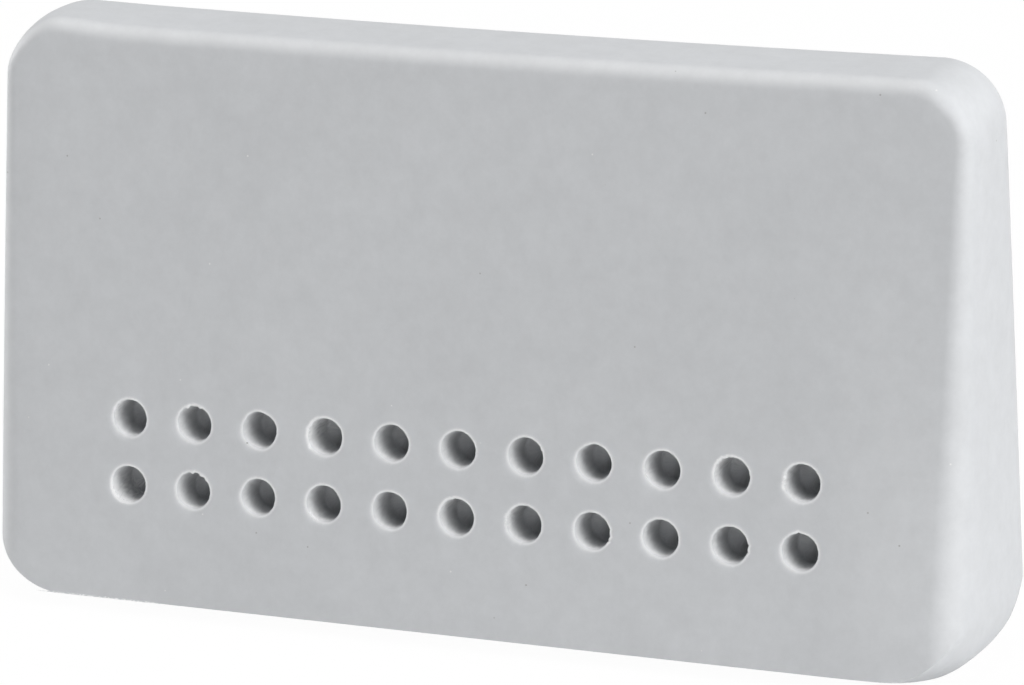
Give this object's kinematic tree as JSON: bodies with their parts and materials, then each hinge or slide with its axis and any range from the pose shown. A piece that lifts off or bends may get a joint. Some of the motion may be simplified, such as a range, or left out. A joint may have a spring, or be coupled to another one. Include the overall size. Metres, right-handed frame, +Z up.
{
  "type": "triangular eraser",
  "caption": "wedge-shaped vinyl eraser with leaning faces, rounded rims and rows of blind grip holes low on the front face; stands on its crowned foot",
  "frame": {"origin": "bottom centre of the bounding box, on the flat standing strip under the foot", "axes": "+X along the length, -Y out of the dimpled front face, +Z up from the foot to the thin top"},
  "size_m": [0.0618, 0.014, 0.0352],
  "materials": {
    "vinyl": "matte pale grey moulded vinyl"
  },
  "bodies": {
    "root": {"eraser": "vinyl"}
  },
  "joints": []
}
